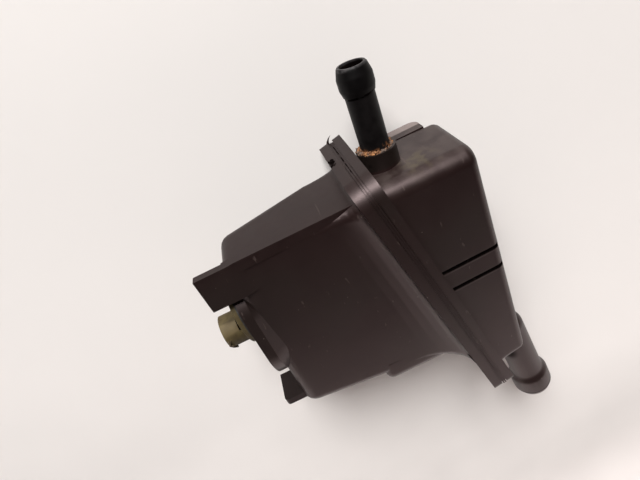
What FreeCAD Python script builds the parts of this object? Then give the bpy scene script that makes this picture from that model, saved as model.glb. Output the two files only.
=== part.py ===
"""Power steering fluid reservoir: two welded plastic shells with hose ports and a level sensor.

Frame in millimetres: +X from the sensor end to the outer face of the cover, +Y away from the
side with the level marks, +Z up. The origin is the corner where the bracket tongue's near
face meets the top of the tank, over the end wall.
"""
import FreeCAD, Part
import os
from math import asin, cos, pi, radians, sin, sqrt, tan
from FreeCAD import Placement, Rotation, Vector

# Tank
WALL = 2.5
LENGTH = 89.0
BODY_HEIGHT = 75.6
BOTTOM_DROP = 4.3
END_WALL_X = -1.2
END_EDGE = 3.5
END_STEPS = 4
END_NEAR_Y = 1.2
END_FAR_Y = 27.0
MOUTH_FAR_Y = 34.0
TOP_BAND = 0.6
BAND_END_Y = 3.9
BAND_MOUTH_Y = 14.5

# Weld flange, slanted so that the cover is deep at the top and shallow at the bottom
FLANGE_TILT = radians(11.9)
COVER_DEPTH = 41.9
FLANGE_X = LENGTH - COVER_DEPTH
FLANGE_NEAR_Y = -7.0
FLANGE_FAR_Y = 40.0
FLANGE_TOP = 6.5
FLANGE_BOTTOM = -106.0
FLANGE_CORNERS = (9.0, 3.6, 3.6, 3.2)
BODY_FLANGE = 3.8
BEAD = 2.0
COVER_FLANGE = 3.4
BEAD_INSET = 0.7
RIDGE = 0.6
RIDGE_END_Y = 14.0

# Cove between the body and its flange
COVE_START = FLANGE_X - 13.1
COVE_STEPS = 6
INNER_STEPS = 4
COVE_NEAR = 6.2
COVE_FAR = 3.0
COVE_TOP = 1.2
COVE_BOTTOM = 13.0
COVE_MOUTH_CORNER = 10.0

# Cover
COVER_BOTTOM = -100.3
COVER_CORNERS = (6.0, 5.0, 5.0, 3.6)
COVER_EDGE = 3.2
DRAFT = 1.0
MARK_HEIGHTS = (-41.3, -50.4)
MARK_WIDTH = 1.1
MARK_DEPTH = 0.9
LEDGE_TOP = -0.3
LEDGE_WIDTH = 4.4
LEDGE_END_X = LENGTH - 5.6
LEDGE_RUN = 24.0
LEDGE_THICK = 3.5

# Bracket tongue and lower lip that locate the tank
TONGUE_REACH = 10.6
TONGUE_THICK = 3.2
TONGUE_HEIGHT = 13.6
TONGUE_RUN = 1.5
TONGUE_FADE = 9.0
LIP_REACH = 9.5
LIP_NEAR_Y = 4.0
LIP_FAR_Y = 18.6
LIP_RISE = 6.1
LIP_THICK = 3.0
SUMP_X = 31.5
SUMP_NEAR_Y = 0.12
SUMP_DROP = 7.1
SUMP_RUN = 28.0

# Return port
NIPPLE_X = FLANGE_X + 14.8
NIPPLE_Y = 17.8
NIPPLE_LEAN = radians(3.7)
NIPPLE_R = 5.0
NIPPLE_ROOT_R = 5.3
NIPPLE_BORE_R = 4.0
NIPPLE_LENGTH = 35.2
NIPPLE_INSIDE = 7.5
NIPPLE_BARB_R = 5.95
NIPPLE_TIP_R = 4.95
NIPPLE_BARB_RISE = 3.6
NIPPLE_BARB_LAND = 3.4
NIPPLE_BARB_FOOT = 2.3
SOCKET_R = 7.0
SOCKET_HEIGHT = 6.5
CUP_DEPTH = 3.0
SEAL_R = 6.0
SEAL_HEIGHT = 1.4
FIT = 0.1

# Feed port
FEED_X = LENGTH + 0.2
FEED_Y = 14.5
FEED_Z = COVER_BOTTOM - 5.7
FEED_LEAN = radians(7.0)
FEED_R = 7.1
FEED_BORE_R = 5.4
FEED_RISE = 16.0
FEED_CROWN = 7.0
FEED_LENGTH = 36.3
FEED_BARB_R = 8.7
FEED_SHOULDER = 3.5
FEED_BARB_LAND = 7.5
FEED_TIP = 3.0

# Level sensor
SENSOR_Y = 14.0
SENSOR_Z = -25.2
PAD_R = 14.8
PAD_LOW_R = 16.2
PAD_LOW_DROP = 15.8
PAD_FACE_X = -3.9
PAD_FADE = 5.0
PAD_TAPER = 4.2
HEAD_R = 14.2
HEAD_THICK = 1.8
GASKET_THICK = 0.5
GASKET_BORE_R = 10.8
PLUG_R = 10.2
PLUG_DEPTH = 5.5
SHROUD_DROP = 8.0
SHROUD_R = 6.4
SHROUD_WALL = 1.2
SHROUD_LENGTH = 9.6
STEM_R = 4.5
STEM_LENGTH = 21.0
REED_POCKET_R = 2.4
REED_R = 1.2
REED_LENGTH = 14.0
LEAD_R = 0.3
BLADE_GAP = 3.6
BLADE_WIDTH = 2.2
BLADE_THICK = 0.64
BLADE_OUT = 5.5
BLADE_IN = 5.0

# Float
EAR_THICK = 1.8
EAR_R = 3.4
EAR_REACH = 6.8
PIN_R = 1.0
PIN_FIT = 0.08
HUB_R = 2.8
HUB_WIDTH = 5.6
HUB_SIDE_GAP = 0.35
ARM_SIZE = 2.6
ARM_REACH = 15.0
MAGNET_R = 1.3
MAGNET_LENGTH = 3.2
MAGNET_RISE = 3.4
FLOAT_LENGTH = 14.0
FLOAT_WIDTH = 15.0
FLOAT_HEIGHT = 9.0
FLOAT_START = 7.5
FLOAT_DROOP = 25.0

# Strainer before the feed port and plate under the return port
STRAINER_TOP = -46.0
STRAINER_BOTTOM = -90.0
STRAINER_FRAME = 3.5
STRAINER_THICK = 2.0
STRAINER_STEP = 0.5
MESH_THICK = 0.5
MESH_COLUMNS = 7
MESH_ROWS = 12
MESH_BAR = 0.7
BAFFLE_Z = -18.0
BAFFLE_THICK = 1.8
BAFFLE_HOLE_R = 2.0
BAFFLE_HOLE_PITCH = 8.0

FLANGE_THICK = BODY_FLANGE + BEAD + COVER_FLANGE
SLANT = Vector(cos(FLANGE_TILT), 0, sin(FLANGE_TILT))
TILT_PER_MM = tan(FLANGE_TILT)
BODY_CORNERS = (4.0, 9.0, 6.0, 4.5)
HEAD_X = PAD_FACE_X - GASKET_THICK
STEM_END = HEAD_X + STEM_LENGTH + PLUG_DEPTH
PIVOT_X = STEM_END + EAR_REACH - EAR_R


def mix(start, end, share):
    """Value a share of the way from start to end."""
    return start + (end - start) * share


def ring(x_top, tilt, box, corners):
    """Closed rounded rectangle across the tank on a plane that leans by tilt.

    box is near y, far y, top z and bottom z; corners run near top, far top, far bottom,
    near bottom.
    """
    near, far, top, bottom = box
    high, low = top / cos(tilt), bottom / cos(tilt)

    def place(y, height):
        return Vector(x_top - height * sin(tilt), y, height * cos(tilt))

    spots = ((near, high, 1, -1), (far, high, -1, -1), (far, low, -1, 1), (near, low, 1, 1))
    arcs = []
    for (y, v, to_y, to_v), r in zip(spots, corners):
        centre_y, centre_v = y + to_y * r, v + to_v * r
        bend = r * sqrt(0.5)
        arcs.append([place(y, centre_v), place(centre_y - to_y * bend, centre_v - to_v * bend),
                     place(centre_y, v)])
    edges = []
    arcs[1].reverse()
    arcs[3].reverse()
    for here, after in zip(arcs, arcs[1:] + arcs[:1]):
        edges.append(Part.Arc(*here).toShape())
        edges.append(Part.makeLine(here[2], after[0]))
    return Part.Wire(Part.__sortEdges__(edges))


def shrink(box, by):
    """Box of a ring moved inwards by a wall."""
    near, far, top, bottom = box
    return near + by, far - by, top - by, bottom + by


def tighten(corners, by):
    """Corner radii that go with a ring moved inwards."""
    return tuple(max(r - by, 1.2) for r in corners)


def body_rings(inset, steps):
    """Rings of the body shell: rounded end edge, drafted walls and the cove out to the flange."""
    rings = []
    end = (END_NEAR_Y, END_FAR_Y, -TOP_BAND, -BODY_HEIGHT)
    start = (0.0, MOUTH_FAR_Y, -TOP_BAND, -BODY_HEIGHT - BOTTOM_DROP)
    lean_at_start = FLANGE_TILT * 0.72
    edge = END_EDGE - inset
    run = COVE_START - END_WALL_X
    for count in range(END_STEPS + 2):
        angle = pi / 2 * min(count, END_STEPS) / END_STEPS
        x_top = END_WALL_X + inset + edge * (1 - cos(angle))
        if count > END_STEPS:
            x_top = COVE_START
        share = (x_top - END_WALL_X) / run
        box = tuple(mix(a, b, share) for a, b in zip(end, start))
        by = inset + edge * (1 - sin(angle))
        corners = (BODY_CORNERS[0], mix(BODY_CORNERS[1], 6.0, share)) + BODY_CORNERS[2:]
        rings.append(ring(x_top, lean_at_start * share, shrink(box, by), tighten(corners, by)))
    for count in range(1, steps + 1):
        angle = pi / 2 * count / steps
        step, grow = sin(angle), 1 - cos(angle)
        box = (start[0] - COVE_NEAR * grow, start[1] + COVE_FAR * grow,
               start[2] + COVE_TOP * grow, start[3] - COVE_BOTTOM * grow)
        corners = (mix(BODY_CORNERS[0], 6.0, grow), mix(6.0, 8.0, grow),
                   mix(BODY_CORNERS[2], COVE_MOUTH_CORNER, grow),
                   mix(BODY_CORNERS[3], COVE_MOUTH_CORNER, grow))
        x_top = mix(COVE_START, FLANGE_X, step) + inset * step
        lean = mix(lean_at_start, FLANGE_TILT, step)
        rings.append(ring(x_top, lean, shrink(box, inset), tighten(corners, inset)))
    return rings


def mouth_box():
    """Outer size of the body where it meets the flange."""
    return (-COVE_NEAR, MOUTH_FAR_Y + COVE_FAR, -TOP_BAND + COVE_TOP,
            -BODY_HEIGHT - BOTTOM_DROP - COVE_BOTTOM)


def cover_box():
    """Outer size of the cover where it meets the flange."""
    return -DRAFT / 2, MOUTH_FAR_Y, 0.0, COVER_BOTTOM


def flange_slab(start, thick, outset=0.0):
    """Slanted rounded plate of the flange's outline, from a distance behind its body side."""
    box = shrink((FLANGE_NEAR_Y, FLANGE_FAR_Y, FLANGE_TOP, FLANGE_BOTTOM), -outset)
    wire = ring(FLANGE_X, FLANGE_TILT, box, tuple(r + outset for r in FLANGE_CORNERS))
    slab = Part.Face(wire).extrude(SLANT * thick)
    slab.translate(SLANT * start)
    return slab


def box_solid(x0, x1, y0, y1, z0, z1):
    """Plain block between two corners."""
    return Part.makeBox(x1 - x0, y1 - y0, z1 - z0, Vector(x0, y0, z0))


def prism(points, along):
    """Solid swept from a flat outline."""
    return Part.Face(Part.makePolygon(points + points[:1])).extrude(along)


def turned(profile):
    """Solid of revolution about Z from pairs of radius and height."""
    points = [Vector(r, 0, z) for r, z in profile]
    return Part.Face(Part.makePolygon(points + points[:1])).revolve(Vector(), Vector(0, 0, 1), 360)


def rod(x0, x1, r, y=SENSOR_Y, z=SENSOR_Z):
    """Round bar along X."""
    return Part.makeCylinder(r, x1 - x0, Vector(x0, y, z), Vector(1, 0, 0))


def joint_opening():
    """Common hollow through both flanges, as wide as the narrower shell."""
    body = shrink(mouth_box(), WALL)
    cover = shrink(cover_box(), WALL)
    box = (max(body[0], cover[0]), min(body[1], cover[1]), min(body[2], cover[2]),
           max(body[3], cover[3]))
    wire = ring(FLANGE_X, FLANGE_TILT, box, (3.5, 4.5, 7.5, 7.5))
    hole = Part.Face(wire).extrude(SLANT * (FLANGE_THICK + 2))
    hole.translate(SLANT * -1)
    return hole


def pad_outline(x, by):
    """Outline of the sensor pad: two arcs joined by their outer tangents, tightened by an amount."""
    low_z = SENSOR_Z - PAD_LOW_DROP
    high_r, low_r = PAD_R - by, PAD_LOW_R - by
    turn = asin((low_r - high_r) / PAD_LOW_DROP)

    def spot(side, r, z):
        return Vector(x, SENSOR_Y + side * r * cos(turn), z + r * sin(turn))

    ends = [spot(-1, high_r, SENSOR_Z), spot(1, high_r, SENSOR_Z),
            spot(1, low_r, low_z), spot(-1, low_r, low_z)]
    edges = [Part.Arc(ends[0], Vector(x, SENSOR_Y, SENSOR_Z + high_r), ends[1]).toShape(),
             Part.makeLine(ends[1], ends[2]),
             Part.Arc(ends[2], Vector(x, SENSOR_Y, low_z - low_r), ends[3]).toShape(),
             Part.makeLine(ends[3], ends[0])]
    return Part.Wire(edges)


def sensor_pad():
    """Raised pad under the sensor, tapering back into the end wall."""
    return Part.makeLoft([pad_outline(PAD_FACE_X, 0), pad_outline(END_WALL_X + 1, 0),
                          pad_outline(END_WALL_X + 1 + PAD_FADE, PAD_TAPER)], True, True)


def sump(by):
    """Pocket below the body's floor, flush with the near side; tightened by the wall for its inside."""
    bottom = -BODY_HEIGHT - SUMP_DROP
    block = box_solid(SUMP_X + by, SUMP_X + SUMP_RUN - by, SUMP_NEAR_Y + by, MOUTH_FAR_Y - 2.5 - by,
                      bottom + by, -BODY_HEIGHT + 3)
    near = [edge for edge in block.Edges if is_near(edge, "z", bottom + by)
            and edge.BoundBox.YMax < SUMP_NEAR_Y + by + 0.01]
    block = block.makeFillet(4.5 - by, near)
    end = [edge for edge in block.Edges if is_near(edge, "x", SUMP_X + by)
           and edge.BoundBox.ZMin < bottom + 5.5 and edge.BoundBox.YLength > 1]
    return block.makeFillet(3.0 - by / 2, end)


def tongue():
    """Bracket tongue, flush with the near side where the drafted wall comes out to meet it."""
    outline = [(-TONGUE_REACH, 0), (TONGUE_RUN, 0), (TONGUE_FADE, END_NEAR_Y), (TONGUE_FADE, TONGUE_THICK),
               (-TONGUE_REACH, TONGUE_THICK)]
    plate = prism([Vector(x, y, -TONGUE_HEIGHT) for x, y in outline], Vector(0, 0, TONGUE_HEIGHT))
    return plate.makeFillet(0.4, [edge for edge in plate.Edges if is_near(edge, "x", -TONGUE_REACH)])


def top_band():
    """Raised three-cornered band along the near edge of the top."""
    band_end = FLANGE_X + 1.0
    return prism([Vector(END_WALL_X + 0.8, 0.4, -4), Vector(END_WALL_X + 0.8, BAND_END_Y, -4),
                  Vector(band_end, BAND_MOUTH_Y, -4), Vector(band_end, 0.4, -4)], Vector(0, 0, 4))


def lip():
    """Lower locating lip on the end wall."""
    top = -BODY_HEIGHT + LIP_RISE
    plate = box_solid(-LIP_REACH, 1, LIP_NEAR_Y, LIP_FAR_Y, top - LIP_THICK, top)
    return plate.makeFillet(1.6, [edge for edge in plate.Edges if is_near(edge, "x", -LIP_REACH)
                                  and edge.BoundBox.ZLength > 1 and edge.BoundBox.YMax < LIP_NEAR_Y + 1])


def body_shell():
    """Drafted shell that flares through a cove into its half of the slanted weld flange."""
    shell = Part.makeLoft(body_rings(0.0, COVE_STEPS), True, True)
    shell = shell.fuse(flange_slab(0.0, BODY_FLANGE))
    for piece in (tongue(), top_band(), lip(), sump(0.0), sensor_pad()):
        shell = shell.fuse(piece)
    shell = shell.cut(Part.makeLoft(body_rings(WALL, INNER_STEPS), True, True)).cut(joint_opening())
    shell = shell.cut(sump(WALL)).cut(rod(PAD_FACE_X - 1, END_WALL_X + 12, PLUG_R + FIT))
    return shell


def is_near(edge, axis, value):
    """Whether an edge lies wholly at one place along an axis."""
    bound = edge.BoundBox
    low, high = (bound.XMin, bound.XMax) if axis == "x" else (bound.ZMin, bound.ZMax)
    return abs(low - value) < 0.01 and abs(high - value) < 0.01


def along_nipple(solid):
    """Places a piece built upright on the return port's leaning axis."""
    solid.Placement = Placement(Vector(NIPPLE_X, NIPPLE_Y, 0),
                                Rotation(Vector(0, 1, 0), NIPPLE_LEAN * 180 / pi))
    return solid


def along_feed(solid):
    """Places a piece built hanging down on the feed port's leaning axis."""
    solid.Placement = Placement(Vector(FEED_X, FEED_Y, FEED_Z),
                                Rotation(Vector(0, 1, 0), -FEED_LEAN * 180 / pi))
    return solid


def feed_spout():
    """Spout under the cover: domed root on the outer wall, straight neck and barbed end."""
    end = -FEED_LENGTH
    land = end + FEED_TIP
    shoulder = land + FEED_BARB_LAND
    crown = FEED_RISE - FEED_CROWN
    neck = turned([(0, crown), (FEED_R, crown), (FEED_R, shoulder + FEED_SHOULDER), (FEED_BARB_R, shoulder),
                   (FEED_BARB_R, land), (FEED_BARB_R - 0.6, land - 0.3), (FEED_BARB_R - 1.0, end + 0.6),
                   (FEED_BARB_R - 1.7, end), (0, end)])
    return along_feed(neck.fuse(Part.makeSphere(FEED_R, Vector(0, 0, crown))))


def feed_bore():
    """Passage of the feed port, from its tip up into the tank."""
    crown = FEED_RISE - FEED_CROWN
    bore = Part.makeCylinder(FEED_BORE_R, FEED_LENGTH + crown + 1, Vector(0, 0, -FEED_LENGTH - 1))
    return along_feed(bore.fuse(Part.makeSphere(FEED_BORE_R, Vector(0, 0, crown))))


def cover_shell():
    """Cover with its flange half, return socket, feed spout, level marks and far ledge."""
    x_top = FLANGE_X + (FLANGE_THICK - 0.5) / cos(FLANGE_TILT)
    mouth = cover_box()
    face = (DRAFT / 2, MOUTH_FAR_Y - DRAFT, -0.8, COVER_BOTTOM + 1.5)
    outer = [ring(x_top, FLANGE_TILT, mouth, COVER_CORNERS), ring(LENGTH, 0.0, face, COVER_CORNERS)]
    shell = Part.makeLoft(outer, True, True)
    shell = shell.makeFillet(COVER_EDGE, [edge for edge in shell.Edges if is_near(edge, "x", LENGTH)])
    shell = shell.fuse(flange_slab(BODY_FLANGE + BEAD, COVER_FLANGE))
    ledge = box_solid(LEDGE_END_X - LEDGE_RUN, LEDGE_END_X, MOUTH_FAR_Y - 4, MOUTH_FAR_Y + LEDGE_WIDTH,
                      LEDGE_TOP - LEDGE_THICK, LEDGE_TOP)
    corner = [edge for edge in ledge.Edges
              if is_near(edge, "x", LEDGE_END_X) and edge.BoundBox.ZLength > 1
              and edge.BoundBox.YMin > MOUTH_FAR_Y]
    shell = shell.fuse(ledge.makeFillet(3.5, corner))
    collar = along_nipple(Part.makeCylinder(SOCKET_R, SOCKET_HEIGHT + 3, Vector(0, 0, -3)))
    shell = shell.fuse(collar).fuse(feed_spout())
    back = shrink(face, WALL)
    tight = tighten(COVER_CORNERS, WALL)
    inner = Part.makeLoft([ring(x_top, FLANGE_TILT, shrink(mouth, WALL), tight),
                           ring(LENGTH - WALL, 0.0, back, tight)], True, True)
    shell = shell.cut(inner).cut(joint_opening()).cut(feed_bore())
    hole_r = NIPPLE_ROOT_R + FIT
    cup = turned([(0, -12), (hole_r, -12), (hole_r, SOCKET_HEIGHT - CUP_DEPTH),
                  (SEAL_R, SOCKET_HEIGHT - CUP_DEPTH), (SEAL_R, SOCKET_HEIGHT + 1), (0, SOCKET_HEIGHT + 1)])
    shell = shell.cut(along_nipple(cup))
    for height in MARK_HEIGHTS:
        shell = shell.cut(box_solid(x_top - 4, LENGTH + 1, -3, DRAFT / 2 + MARK_DEPTH - 0.1,
                                    height - MARK_WIDTH / 2, height + MARK_WIDTH / 2)
                          .cut(flange_slab(-1, FLANGE_THICK + 1)))
    slot = baffle_blank().fuse(strainer_blank())
    return shell.cut(slot).removeSplitter()


def weld_bead():
    """Ring of plastic squeezed out between the flanges, with two raised ridges."""
    bead = flange_slab(BODY_FLANGE, BEAD, -BEAD_INSET)
    bare = box_solid(0, LENGTH, RIDGE_END_Y, FLANGE_FAR_Y + 5, -4, FLANGE_TOP + 5)
    for place in (BODY_FLANGE + 0.3, BODY_FLANGE + BEAD - 0.3 - RIDGE):
        bead = bead.fuse(flange_slab(place, RIDGE, 0.25).cut(bare))
    return bead.cut(joint_opening()).removeSplitter()


def return_nipple():
    """Black hose nipple with a barbed tip, snapped into the cover's socket."""
    land = NIPPLE_LENGTH - NIPPLE_BARB_RISE
    foot = -NIPPLE_INSIDE
    foot_top = land - NIPPLE_BARB_LAND - NIPPLE_BARB_FOOT
    snap = -0.9 - WALL - 0.3
    return along_nipple(turned([
        (NIPPLE_BORE_R, foot), (NIPPLE_ROOT_R - 0.5, foot), (NIPPLE_ROOT_R + 0.6, snap - 0.5),
        (NIPPLE_ROOT_R + 0.6, snap), (NIPPLE_ROOT_R, snap), (NIPPLE_ROOT_R, SOCKET_HEIGHT),
        (NIPPLE_R, SOCKET_HEIGHT + 0.3), (NIPPLE_R, foot_top),
        (NIPPLE_BARB_R - 0.6, foot_top), (NIPPLE_BARB_R, land - NIPPLE_BARB_LAND),
        (NIPPLE_BARB_R, land), (NIPPLE_TIP_R + 0.1, NIPPLE_LENGTH - 0.5),
        (NIPPLE_TIP_R - 0.3, NIPPLE_LENGTH),
        (NIPPLE_BORE_R, NIPPLE_LENGTH)]))


def nipple_seal():
    """Rubber ring at the bottom of the socket's cup."""
    base = SOCKET_HEIGHT - CUP_DEPTH
    return along_nipple(turned([(NIPPLE_ROOT_R, base), (SEAL_R, base), (SEAL_R, base + SEAL_HEIGHT),
                                (NIPPLE_ROOT_R, base + SEAL_HEIGHT)]))


def blade(side):
    """Flat terminal blade in the connector, through the head to the reed's lead."""
    y = SENSOR_Y + side * BLADE_GAP / 2
    z = SENSOR_Z - SHROUD_DROP
    return box_solid(HEAD_X - HEAD_THICK - BLADE_OUT, HEAD_X - HEAD_THICK + BLADE_IN,
                     y - BLADE_THICK / 2, y + BLADE_THICK / 2, z - BLADE_WIDTH / 2, z + BLADE_WIDTH / 2)


def sensor_head():
    """Tan head: round flange, connector shroud below its centre, sealing plug, stem and ears."""
    face_x = HEAD_X - HEAD_THICK
    shroud_z = SENSOR_Z - SHROUD_DROP
    head = rod(face_x, HEAD_X, HEAD_R)
    head = head.makeFillet(0.5, [edge for edge in head.Edges if is_near(edge, "x", face_x)])
    shroud = rod(face_x - SHROUD_LENGTH, face_x + 0.5, SHROUD_R, z=shroud_z)
    shroud = shroud.cut(rod(face_x - SHROUD_LENGTH - 1, face_x, SHROUD_R - SHROUD_WALL, z=shroud_z))
    slot = box_solid(face_x - 3.2, face_x - 0.6, SENSOR_Y - 6, SENSOR_Y - 3.2,
                     shroud_z, shroud_z + SHROUD_R)
    head = head.fuse(shroud.cut(slot)).fuse(rod(HEAD_X, HEAD_X + PLUG_DEPTH, PLUG_R))
    head = head.fuse(rod(HEAD_X, STEM_END, STEM_R))
    for side in (-1, 1):
        near = SENSOR_Y + side * (HUB_WIDTH / 2 + HUB_SIDE_GAP)
        y0 = min(near, near + side * EAR_THICK)
        ear = box_solid(STEM_END - 3, PIVOT_X, y0, y0 + EAR_THICK, SENSOR_Z - EAR_R, SENSOR_Z + EAR_R)
        tip = Part.makeCylinder(EAR_R, EAR_THICK, Vector(PIVOT_X, y0, SENSOR_Z), Vector(0, 1, 0))
        head = head.fuse(ear.fuse(tip))
    head = head.cut(Part.makeCylinder(PIN_R, 40, Vector(PIVOT_X, SENSOR_Y - 20, SENSOR_Z), Vector(0, 1, 0)))
    head = head.cut(rod(HEAD_X + 1.5, STEM_END - 2.5, REED_POCKET_R))
    head = head.cut(box_solid(HEAD_X + 2.6, HEAD_X + 4.9, SENSOR_Y - 3, SENSOR_Y + 3,
                              SENSOR_Z - SHROUD_DROP - 1.3, SENSOR_Z))
    for side in (-1, 1):
        head = head.cut(blade(side))
    return head.removeSplitter()


def sensor_gasket():
    """Flat black gasket between the head and the pad."""
    return rod(HEAD_X, PAD_FACE_X, HEAD_R + 0.4).cut(rod(HEAD_X - 1, PAD_FACE_X + 1, GASKET_BORE_R))


def reed_start():
    """Near end of the reed's glass."""
    return STEM_END - 4 - REED_LENGTH


def reed_switch():
    """Glass reed capsule inside the stem."""
    x0 = reed_start()
    glass = rod(x0, x0 + REED_LENGTH, REED_R)
    return glass.makeFillet(0.5, [edge for edge in glass.Edges if edge.BoundBox.XLength < 0.01])


def reed_lead(side):
    """Wire from a blade up to the reed: short to its near end, long past the glass to its far end."""
    start_y = SENSOR_Y + side * BLADE_GAP / 2
    x = HEAD_X - HEAD_THICK + BLADE_IN
    rise_x = x + 3 * LEAD_R
    low = SENSOR_Z - SHROUD_DROP
    end = reed_start()
    if side < 0:
        points = [(x, start_y, low), (rise_x, start_y, low), (rise_x, SENSOR_Y, SENSOR_Z),
                  (end, SENSOR_Y, SENSOR_Z)]
    else:
        past = end + REED_LENGTH
        beside = SENSOR_Y + REED_R + 0.6
        points = [(x, start_y, low), (rise_x, start_y, low), (rise_x, beside, SENSOR_Z),
                  (past + 3 * LEAD_R, beside, SENSOR_Z), (past + 3 * LEAD_R, SENSOR_Y, SENSOR_Z),
                  (past, SENSOR_Y, SENSOR_Z)]
    points = [Vector(*point) for point in points]
    lead = None
    for here, after in zip(points, points[1:]):
        run = Part.makeCylinder(LEAD_R, (after - here).Length, here, after - here)
        lead = run if lead is None else lead.fuse(run).fuse(Part.makeSphere(LEAD_R, here))
    return lead


def drooped(solid):
    """Lets a float piece, built level, hang at its lower stop."""
    solid.rotate(Vector(PIVOT_X, SENSOR_Y, SENSOR_Z), Vector(0, 1, 0), FLOAT_DROOP)
    return solid


def float_pin():
    """Steel pivot pin through the ears."""
    width = HUB_WIDTH + 2 * (HUB_SIDE_GAP + EAR_THICK)
    return Part.makeCylinder(PIN_R, width, Vector(PIVOT_X, SENSOR_Y - width / 2, SENSOR_Z), Vector(0, 1, 0))


def level_arm():
    """Float arm before it droops: hub with a lobe for the magnet and a square arm."""
    y0 = SENSOR_Y - HUB_WIDTH / 2
    hub = Part.makeCylinder(HUB_R, HUB_WIDTH, Vector(PIVOT_X, y0, SENSOR_Z), Vector(0, 1, 0))
    lobe = Part.makeCylinder(MAGNET_R + 1, HUB_WIDTH,
                             Vector(PIVOT_X + 1.2, y0, SENSOR_Z + MAGNET_RISE), Vector(0, 1, 0))
    bar = box_solid(PIVOT_X, PIVOT_X + ARM_REACH, SENSOR_Y - ARM_SIZE / 2, SENSOR_Y + ARM_SIZE / 2,
                    SENSOR_Z - ARM_SIZE / 2, SENSOR_Z + ARM_SIZE / 2)
    arm = hub.fuse(lobe).fuse(bar)
    bore = Part.makeCylinder(PIN_R + PIN_FIT, 40, Vector(PIVOT_X, SENSOR_Y - 20, SENSOR_Z), Vector(0, 1, 0))
    return arm.cut(bore)


def level_magnet():
    """Magnet before the arm droops."""
    start = Vector(PIVOT_X + 1.2, SENSOR_Y - MAGNET_LENGTH / 2, SENSOR_Z + MAGNET_RISE)
    return Part.makeCylinder(MAGNET_R, MAGNET_LENGTH, start, Vector(0, 1, 0))


def float_arm():
    """Arm that carries the float, bored for its pin and hollowed for its magnet."""
    return drooped(level_arm().cut(level_magnet()).removeSplitter())


def float_magnet():
    """Magnet that closes the reed switch as the float drops."""
    return drooped(level_magnet())


def float_body():
    """Closed-cell foam float pressed on the arm."""
    x0 = PIVOT_X + FLOAT_START
    block = box_solid(x0, x0 + FLOAT_LENGTH, SENSOR_Y - FLOAT_WIDTH / 2, SENSOR_Y + FLOAT_WIDTH / 2,
                      SENSOR_Z - FLOAT_HEIGHT / 2, SENSOR_Z + FLOAT_HEIGHT / 2)
    block = block.makeFillet(1.8, block.Edges)
    return drooped(block.cut(level_arm()))


def strainer_span():
    """Near and far sides of the strainer between the tank's walls, with a small grip in each."""
    return -DRAFT / 2 + WALL - 0.6, MOUTH_FAR_Y - WALL + 0.6


def strainer_blank():
    """Full outline of the strainer's frame, on the cover's side of the weld."""
    near, far = strainer_span()
    wire = ring(FLANGE_X, FLANGE_TILT, (near, far, STRAINER_TOP, STRAINER_BOTTOM), (1.5, 1.5, 1.5, 1.5))
    plate = Part.Face(wire).extrude(SLANT * STRAINER_THICK)
    plate.translate(SLANT * (FLANGE_THICK - COVER_FLANGE + STRAINER_STEP))
    return plate


def strainer_window(grow=0.0):
    """Window of the strainer's frame, or the pocket that holds its mesh."""
    near, far = strainer_span()
    box = shrink((near, far, STRAINER_TOP, STRAINER_BOTTOM), STRAINER_FRAME - grow)
    return box


def strainer_frame():
    """Frame of the strainer with two cross bars."""
    wire = ring(FLANGE_X, FLANGE_TILT, strainer_window(), (1.5, 1.5, 1.5, 1.5))
    window = Part.Face(wire).extrude(SLANT * 30)
    frame = strainer_blank().cut(window)
    return frame.cut(mesh_blank()).removeSplitter()


def mesh_blank():
    """Outline of the mesh, held by its rim in the frame."""
    wire = ring(FLANGE_X, FLANGE_TILT, strainer_window(1.2), (1.5, 1.5, 1.5, 1.5))
    plate = Part.Face(wire).extrude(SLANT * MESH_THICK)
    middle = FLANGE_THICK - COVER_FLANGE + STRAINER_STEP + (STRAINER_THICK - MESH_THICK) / 2
    plate.translate(SLANT * middle)
    return plate


def strainer_mesh():
    """Screen of crossing bars that holds dirt back from the pump."""
    near, far, top, bottom = strainer_window()
    across = (far - near) / MESH_COLUMNS
    high, low = top / cos(FLANGE_TILT), bottom / cos(FLANGE_TILT)
    rise = (high - low) / MESH_ROWS
    holes = []
    for column in range(MESH_COLUMNS):
        for row in range(MESH_ROWS):
            y = near + across * column + MESH_BAR / 2
            v = (low + rise * row + MESH_BAR / 2)
            hole = Part.makeBox(40, across - MESH_BAR, rise - MESH_BAR, Vector(-5, y, v))
            holes.append(hole)
    cutter = Part.makeCompound(holes)
    cutter.Placement = Placement(Vector(FLANGE_X, 0, 0), Rotation(Vector(0, 1, 0), -FLANGE_TILT * 180 / pi))
    return mesh_blank().cut(cutter)


def baffle_blank():
    """Outline of the plate under the return port, gripped by the cover's walls."""
    near, far = strainer_span()
    x0 = FLANGE_X + (FLANGE_THICK + 0.6) / cos(FLANGE_TILT) - BAFFLE_Z * TILT_PER_MM
    return box_solid(x0, LENGTH - WALL + 0.6, near, far, BAFFLE_Z - BAFFLE_THICK, BAFFLE_Z)


def flow_baffle():
    """Perforated plate that breaks the returning jet."""
    plate = baffle_blank()
    bound = plate.BoundBox
    for column in (-1, 0, 1):
        for row in (-1, 0, 1):
            spot = Vector(bound.Center.x + column * BAFFLE_HOLE_PITCH,
                          bound.Center.y + row * BAFFLE_HOLE_PITCH, bound.ZMin - 1)
            plate = plate.cut(Part.makeCylinder(BAFFLE_HOLE_R, BAFFLE_THICK + 2, spot))
    return plate


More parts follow.
